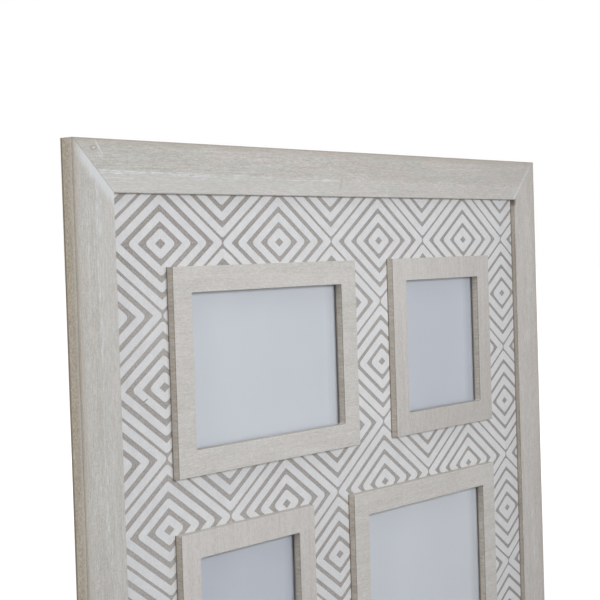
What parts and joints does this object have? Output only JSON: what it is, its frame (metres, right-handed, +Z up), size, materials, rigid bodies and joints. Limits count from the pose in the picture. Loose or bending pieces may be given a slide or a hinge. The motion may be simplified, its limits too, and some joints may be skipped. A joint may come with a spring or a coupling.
{
  "type": "collage photo frame",
  "caption": "Mitred whitewashed wall frame round a diamond-patterned board with raised glazed photo surrounds, turn-button backs and swinging ring hangers.",
  "frame": {"origin": "middle of the wall plane behind the frame, where the wall pads' rear faces lie", "axes": "+X right as seen from the front, +Y back into the wall, +Z up; the front faces -Y"},
  "size_m": [0.474, 0.0147, 0.412],
  "materials": {
    "washed_wood": "whitewashed, matt",
    "surround_wood": "whitewashed, matt, brown cut edges",
    "printed_board": "taupe stain with raised white print",
    "window_glass": "clear, polished",
    "insert_paper": "plain smooth paper",
    "hardboard": "brown pressed fibre, one smooth side",
    "plated_hardware": "bright zinc plate",
    "steel_fasteners": "plain steel",
    "rubber_pads": "matt soft rubber"
  },
  "bodies": {
    "frame": {"top_rail": "washed_wood", "bottom_rail": "washed_wood", "left_stile": "washed_wood", "right_stile": "washed_wood", "corner_nails": "steel_fasteners", "patterned_board": "printed_board", "board_brads": "steel_fasteners", "turn_button_screws": "steel_fasteners", "hanger_screws": "steel_fasteners", "wall_pads": "rubber_pads", "surround_top_left": "surround_wood", "glass_top_left": "window_glass", "paper_insert_top_left": "insert_paper", "backing_board_top_left": "hardboard", "surround_top_right": "surround_wood", "glass_top_right": "window_glass", "paper_insert_top_right": "insert_paper", "backing_board_top_right": "hardboard", "surround_bottom_left": "surround_wood", "glass_bottom_left": "window_glass", "paper_insert_bottom_left": "insert_paper", "backing_board_bottom_left": "hardboard", "surround_bottom_right": "surround_wood", "glass_bottom_right": "window_glass", "paper_insert_bottom_right": "insert_paper", "backing_board_bottom_right": "hardboard", "hanger_strap_left": "plated_hardware", "hanger_strap_right": "plated_hardware"},
    "turn_button_top_left_upper": {"turn_button_top_left_upper": "plated_hardware"},
    "turn_button_top_left_lower": {"turn_button_top_left_lower": "plated_hardware"},
    "turn_button_top_right_upper": {"turn_button_top_right_upper": "plated_hardware"},
    "turn_button_top_right_lower": {"turn_button_top_right_lower": "plated_hardware"},
    "turn_button_bottom_left_upper": {"turn_button_bottom_left_upper": "plated_hardware"},
    "turn_button_bottom_left_lower": {"turn_button_bottom_left_lower": "plated_hardware"},
    "turn_button_bottom_right_upper": {"turn_button_bottom_right_upper": "plated_hardware"},
    "turn_button_bottom_right_lower": {"turn_button_bottom_right_lower": "plated_hardware"},
    "hanger_ring_left": {"hanger_ring_left": "plated_hardware"},
    "hanger_ring_right": {"hanger_ring_right": "plated_hardware"}
  },
  "joints": [
    {"name": "turn_button_top_left_upper_turn", "type": "hinge", "parent": "frame", "child": "turn_button_top_left_upper", "pos_m": [-0.081, -0.0036, 0.1325], "axis": [0, 1, 0], "continuous": true},
    {"name": "turn_button_top_left_lower_turn", "type": "hinge", "parent": "frame", "child": "turn_button_top_left_lower", "pos_m": [-0.081, -0.0036, 0.0195], "axis": [0, 1, 0], "continuous": true},
    {"name": "turn_button_top_right_upper_turn", "type": "hinge", "parent": "frame", "child": "turn_button_top_right_upper", "pos_m": [0.106, -0.0036, 0.1325], "axis": [0, 1, 0], "continuous": true},
    {"name": "turn_button_top_right_lower_turn", "type": "hinge", "parent": "frame", "child": "turn_button_top_right_lower", "pos_m": [0.106, -0.0036, 0.0195], "axis": [0, 1, 0], "continuous": true},
    {"name": "turn_button_bottom_left_upper_turn", "type": "hinge", "parent": "frame", "child": "turn_button_bottom_left_upper", "pos_m": [-0.106, -0.0036, -0.0195], "axis": [0, 1, 0], "continuous": true},
    {"name": "turn_button_bottom_left_lower_turn", "type": "hinge", "parent": "frame", "child": "turn_button_bottom_left_lower", "pos_m": [-0.106, -0.0036, -0.1325], "axis": [0, 1, 0], "continuous": true},
    {"name": "turn_button_bottom_right_upper_turn", "type": "hinge", "parent": "frame", "child": "turn_button_bottom_right_upper", "pos_m": [0.081, -0.0036, -0.0195], "axis": [0, 1, 0], "continuous": true},
    {"name": "turn_button_bottom_right_lower_turn", "type": "hinge", "parent": "frame", "child": "turn_button_bottom_right_lower", "pos_m": [0.081, -0.0036, -0.1325], "axis": [0, 1, 0], "continuous": true},
    {"name": "hanger_ring_left_swing", "type": "hinge", "parent": "frame", "child": "hanger_ring_left", "pos_m": [-0.226, -0.00224, 0.144], "axis": [1, 0, 0], "range_deg": [0, 180]},
    {"name": "hanger_ring_right_swing", "type": "hinge", "parent": "frame", "child": "hanger_ring_right", "pos_m": [0.226, -0.00224, 0.144], "axis": [1, 0, 0], "range_deg": [0, 180]}
  ]
}
